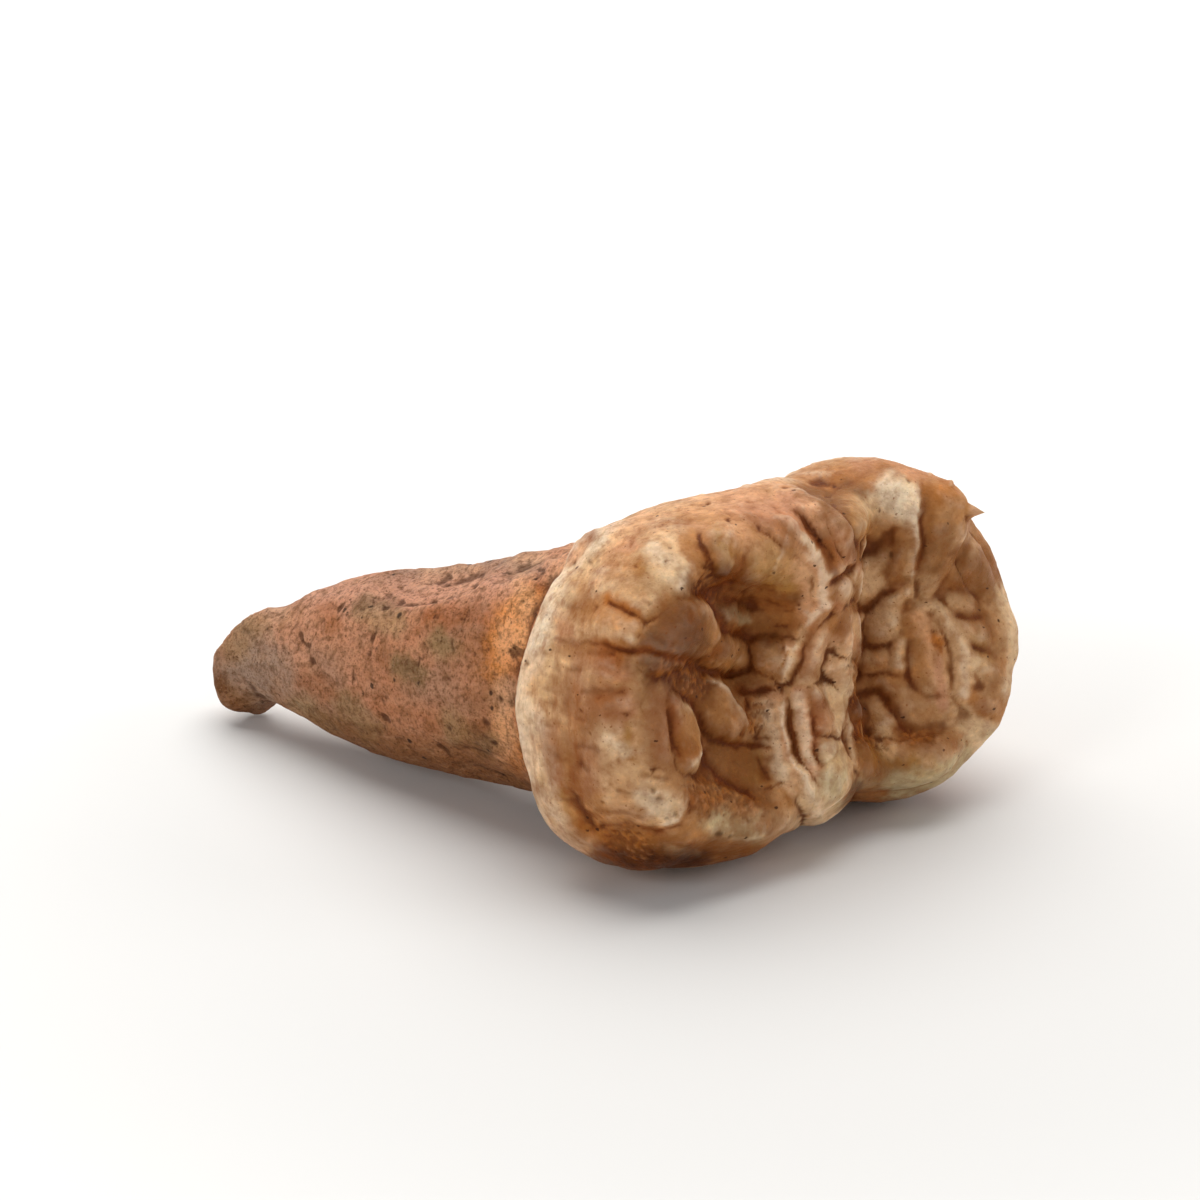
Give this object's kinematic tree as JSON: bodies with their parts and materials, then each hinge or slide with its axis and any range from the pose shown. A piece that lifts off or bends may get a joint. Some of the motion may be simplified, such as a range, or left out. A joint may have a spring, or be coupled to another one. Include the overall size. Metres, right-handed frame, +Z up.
{
  "type": "fossil cave bear molar tooth",
  "caption": "Fossil cave bear lower molar lying on its side: a broad two-lobed chewing crown with worn, folded cusps on two tapering roots.",
  "frame": {"origin": "centre of the bounding box in plan, at the level of the surface the tooth lies on", "axes": "+Z up as the tooth lies, +Y from the chewing face towards the root tips, +X from the front lobe of the crown towards the back lobe"},
  "size_m": [0.0276, 0.0366, 0.0173],
  "materials": {
    "fossil_tooth": "cream to brown-stained satin enamel with dark furrows, red-brown dull root"
  },
  "bodies": {
    "root": {"tooth": "fossil_tooth"}
  },
  "joints": []
}
